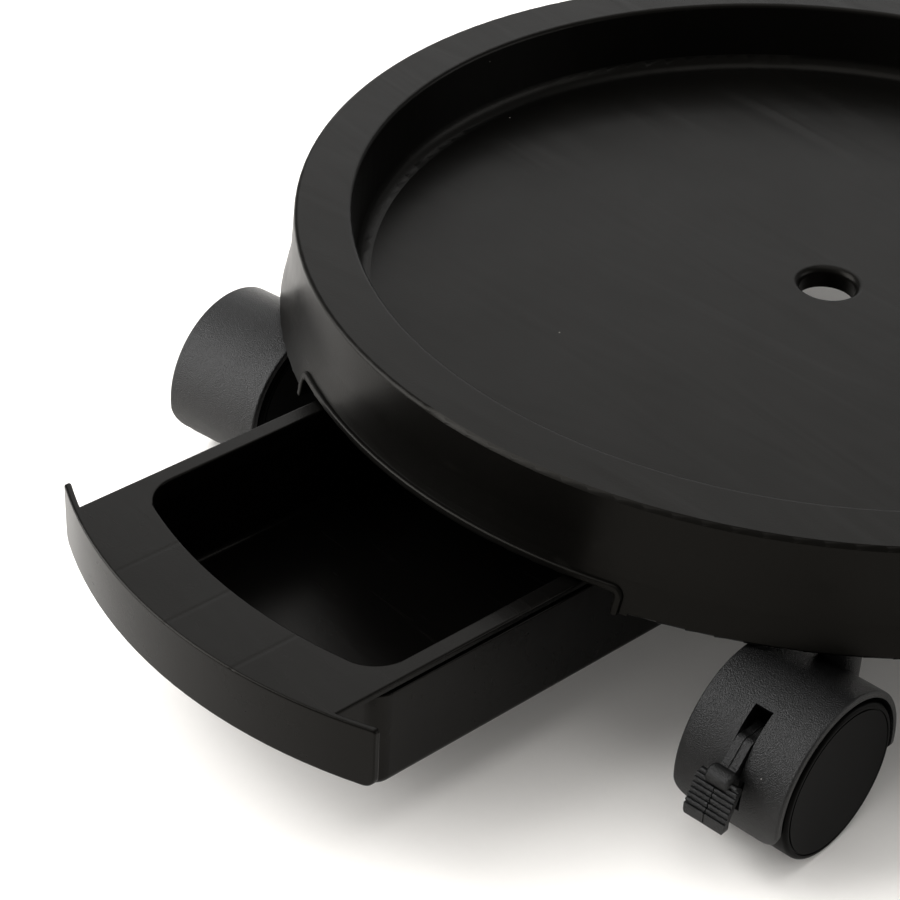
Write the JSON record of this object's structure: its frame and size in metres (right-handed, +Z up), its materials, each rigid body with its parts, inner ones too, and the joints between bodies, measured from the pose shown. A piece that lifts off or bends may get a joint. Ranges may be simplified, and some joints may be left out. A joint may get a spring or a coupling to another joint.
{
  "type": "plant pot caddy",
  "caption": "Round rolling caddy for a plant pot: recessed tray with drain spout, pull-out water drawer and swivelling twin-wheel casters with brakes.",
  "frame": {"origin": "centre of the tray floor on the caddy axis, level with the surface the pot stands on", "axes": "+Z up, -Y the way the drawer pulls out, +X to the right as seen from behind the drawer looking at its back; the drawer is stored part way out"},
  "size_m": [0.3649, 0.4568, 0.09],
  "materials": {
    "body_plastic": "fine satin moulded",
    "hood_plastic": "spark-eroded texture",
    "wheel_plastic": "smooth",
    "socket_plastic": "natural nylon",
    "zinc_steel": "zinc plated"
  },
  "bodies": {
    "tray": {"tray": "body_plastic", "left_rail": "body_plastic", "right_rail": "body_plastic", "rail_screws": "zinc_steel", "front_right_stem_socket": "socket_plastic", "front_left_stem_socket": "socket_plastic", "rear_right_stem_socket": "socket_plastic", "rear_left_stem_socket": "socket_plastic"},
    "drawer": {"drawer": "body_plastic"},
    "front_right_caster": {"front_right_caster_body": "hood_plastic", "front_right_caster_stem": "zinc_steel", "front_right_grip_ring": "zinc_steel", "front_right_axle": "zinc_steel", "front_right_lever_pin": "zinc_steel"},
    "front_right_left_wheel": {"front_right_left_wheel": "wheel_plastic"},
    "front_right_right_wheel": {"front_right_right_wheel": "wheel_plastic"},
    "front_right_brake": {"front_right_brake_lever": "hood_plastic"},
    "front_left_caster": {"front_left_caster_body": "hood_plastic", "front_left_caster_stem": "zinc_steel", "front_left_grip_ring": "zinc_steel", "front_left_axle": "zinc_steel"},
    "front_left_left_wheel": {"front_left_left_wheel": "wheel_plastic"},
    "front_left_right_wheel": {"front_left_right_wheel": "wheel_plastic"},
    "rear_right_caster": {"rear_right_caster_body": "hood_plastic", "rear_right_caster_stem": "zinc_steel", "rear_right_grip_ring": "zinc_steel", "rear_right_axle": "zinc_steel"},
    "rear_right_left_wheel": {"rear_right_left_wheel": "wheel_plastic"},
    "rear_right_right_wheel": {"rear_right_right_wheel": "wheel_plastic"},
    "rear_left_caster": {"rear_left_caster_body": "hood_plastic", "rear_left_caster_stem": "zinc_steel", "rear_left_grip_ring": "zinc_steel", "rear_left_axle": "zinc_steel", "rear_left_lever_pin": "zinc_steel"},
    "rear_left_left_wheel": {"rear_left_left_wheel": "wheel_plastic"},
    "rear_left_right_wheel": {"rear_left_right_wheel": "wheel_plastic"},
    "rear_left_brake": {"rear_left_brake_lever": "hood_plastic"}
  },
  "joints": [
    {"name": "drawer_slide", "type": "slide", "parent": "tray", "child": "drawer", "axis": [0, -1, 0], "range_m": [-0.086, 0.0582]},
    {"name": "front_right_swivel", "type": "hinge", "parent": "tray", "child": "front_right_caster", "pos_m": [0.11908, -0.12549, -0.01135], "axis": [0, 0, 1], "continuous": true},
    {"name": "front_right_left_wheel_spin", "type": "hinge", "parent": "front_right_caster", "child": "front_right_left_wheel", "pos_m": [0.12135, -0.14707, -0.0405], "axis": [0.9945, 0.1045, 0], "continuous": true},
    {"name": "front_right_right_wheel_spin", "type": "hinge", "parent": "front_right_caster", "child": "front_right_right_wheel", "pos_m": [0.12135, -0.14707, -0.0405], "axis": [0.9945, 0.1045, 0], "continuous": true},
    {"name": "front_right_brake_tilt", "type": "hinge", "parent": "front_right_caster", "child": "front_right_brake", "pos_m": [0.12292, -0.16199, -0.0275], "axis": [0.9945, 0.1045, 0], "range_deg": [0, 8]},
    {"name": "front_left_swivel", "type": "hinge", "parent": "tray", "child": "front_left_caster", "pos_m": [-0.11908, -0.12549, -0.01135], "axis": [0, 0, 1], "continuous": true},
    {"name": "front_left_left_wheel_spin", "type": "hinge", "parent": "front_left_caster", "child": "front_left_left_wheel", "pos_m": [-0.11513, -0.14683, -0.0405], "axis": [0.9833, 0.1822, 0], "continuous": true},
    {"name": "front_left_right_wheel_spin", "type": "hinge", "parent": "front_left_caster", "child": "front_left_right_wheel", "pos_m": [-0.11513, -0.14683, -0.0405], "axis": [0.9833, 0.1822, 0], "continuous": true},
    {"name": "rear_right_swivel", "type": "hinge", "parent": "tray", "child": "rear_right_caster", "pos_m": [0.11908, 0.12549, -0.01135], "axis": [0, 0, 1], "continuous": true},
    {"name": "rear_right_left_wheel_spin", "type": "hinge", "parent": "rear_right_caster", "child": "rear_right_left_wheel", "pos_m": [0.11384, 0.10443, -0.0405], "axis": [0.9703, -0.2419, 0], "continuous": true},
    {"name": "rear_right_right_wheel_spin", "type": "hinge", "parent": "rear_right_caster", "child": "rear_right_right_wheel", "pos_m": [0.11384, 0.10443, -0.0405], "axis": [0.9703, -0.2419, 0], "continuous": true},
    {"name": "rear_left_swivel", "type": "hinge", "parent": "tray", "child": "rear_left_caster", "pos_m": [-0.11908, 0.12549, -0.01135], "axis": [0, 0, 1], "continuous": true},
    {"name": "rear_left_left_wheel_spin", "type": "hinge", "parent": "rear_left_caster", "child": "rear_left_left_wheel", "pos_m": [-0.11569, 0.10406, -0.0405], "axis": [0.9877, 0.1564, 0], "continuous": true},
    {"name": "rear_left_right_wheel_spin", "type": "hinge", "parent": "rear_left_caster", "child": "rear_left_right_wheel", "pos_m": [-0.11569, 0.10406, -0.0405], "axis": [0.9877, 0.1564, 0], "continuous": true},
    {"name": "rear_left_brake_tilt", "type": "hinge", "parent": "rear_left_caster", "child": "rear_left_brake", "pos_m": [-0.11334, 0.08924, -0.0275], "axis": [0.9877, 0.1564, 0], "range_deg": [0, 8]}
  ]
}
